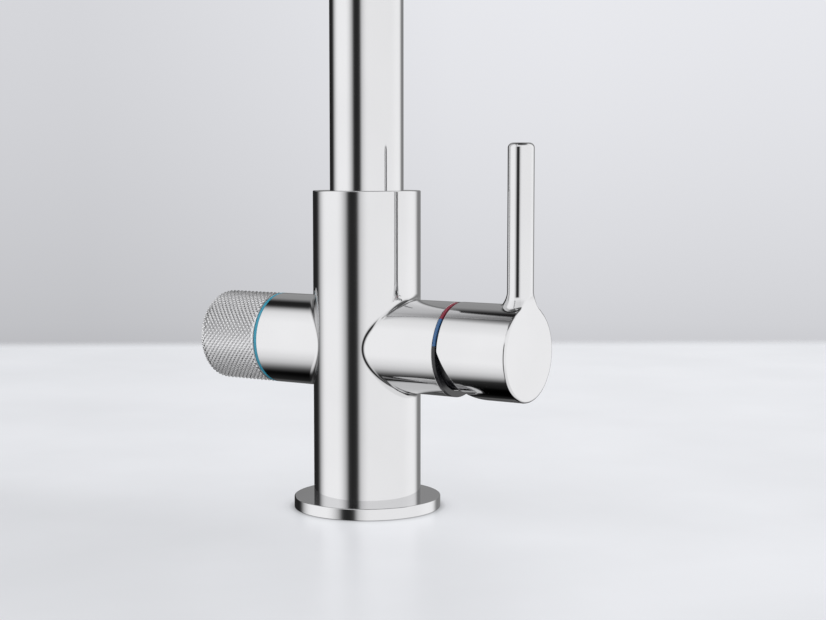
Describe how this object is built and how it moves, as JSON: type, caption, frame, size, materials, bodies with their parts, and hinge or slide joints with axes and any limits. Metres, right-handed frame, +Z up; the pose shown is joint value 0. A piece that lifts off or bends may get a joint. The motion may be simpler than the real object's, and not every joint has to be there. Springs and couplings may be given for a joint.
{
  "type": "drinking water filter tap",
  "caption": "Worktop tap with a swan-neck spout, a side mixer lever, a knurled filtered-water knob and a filter capsule at the outlet.",
  "frame": {"origin": "centre of the flange's underside, on the worktop", "axes": "+Z up, along the body; +X towards the mixer lever; -Y towards the user, where the spout points"},
  "size_m": [0.1418, 0.2346, 0.456],
  "materials": {
    "chrome": "polished chrome plate",
    "knurled_metal": "knurled, satin",
    "brass": "turned",
    "steel": "plain stainless",
    "rubber": "matt",
    "white_plastic": "moulded",
    "black_plastic": "moulded",
    "teal_plastic": "gloss",
    "red_mark": "gloss",
    "blue_mark": "gloss",
    "ceramic": "ground ceramic",
    "filter_media": "fibrous filter block"
  },
  "bodies": {
    "tap": {"tap_body": "chrome", "base_flange": "chrome", "base_seal": "rubber", "fixing_shank": "brass", "rubber_washer": "rubber", "steel_washer": "steel", "fixing_nut": "brass", "clamp_screws": "steel", "spout_set_screw": "steel", "slip_ring": "white_plastic", "inner_tube_seal": "rubber", "cartridge_base": "white_plastic", "port_seals": "rubber", "fixed_disc": "ceramic", "cartridge_housing": "white_plastic", "cartridge_nut": "brass", "dome_cover": "black_plastic", "indicator_ring": "black_plastic", "hot_mark": "red_mark", "cold_mark": "blue_mark", "valve_body": "brass", "valve_seal": "rubber", "valve_fixed_disc": "ceramic", "teal_ring": "teal_plastic"},
    "mixer_rotor": {"cartridge_rotor": "white_plastic", "pivot_pin": "steel"},
    "sliding_disc": {"moving_disc": "ceramic", "disc_carrier": "white_plastic"},
    "lever": {"cartridge_stem": "steel", "mixer_lever": "chrome", "lever_grub_screw": "steel"},
    "knob": {"valve_turning_disc": "ceramic", "valve_spindle": "brass", "spindle_seals": "rubber", "spindle_clip": "steel", "knob_insert": "white_plastic", "filter_knob": "knurled_metal", "knob_grub_screw": "steel"},
    "spout": {"spout_tube": "chrome", "spout_stem": "brass", "stem_seals": "rubber", "inner_tube": "white_plastic", "outlet_fitting": "chrome"},
    "filter_holder": {"capsule_sleeve": "chrome", "nozzle_ring": "knurled_metal", "aerator_housing": "chrome", "aerator_insert": "white_plastic", "aerator_seal": "rubber", "capsule_shell": "white_plastic", "filter_media": "filter_media", "capsule_cap": "teal_plastic", "neck_seal": "rubber"}
  },
  "joints": [
    {"name": "mixer_turn", "type": "hinge", "parent": "tap", "child": "mixer_rotor", "pos_m": [0.036, 0, 0.063], "axis": [1, 0, 0], "range_deg": [0, 90]},
    {"name": "mixer_tilt", "type": "hinge", "parent": "mixer_rotor", "child": "lever", "pos_m": [0.036, 0, 0.063], "axis": [0, 1, 0], "range_deg": [0, 24]},
    {"name": "disc_slide", "type": "slide", "parent": "mixer_rotor", "child": "sliding_disc", "axis": [0, 0, 1], "range_m": [0, 0.0044]},
    {"name": "filter_turn", "type": "hinge", "parent": "tap", "child": "knob", "pos_m": [-0.05, 0, 0.063], "axis": [1, 0, 0], "range_deg": [0, 90]},
    {"name": "spout_swivel", "type": "hinge", "parent": "tap", "child": "spout", "pos_m": [0, 0, 0.1], "axis": [0, 0, 1], "range_deg": [-90, 90]},
    {"name": "holder_release", "type": "slide", "parent": "spout", "child": "filter_holder", "axis": [0, 0, -1], "range_m": [0, 0.012]}
  ],
  "couplings": [
    {"joint": "disc_slide", "follows": "mixer_tilt", "m_per_rad": 0.0104}
  ]
}
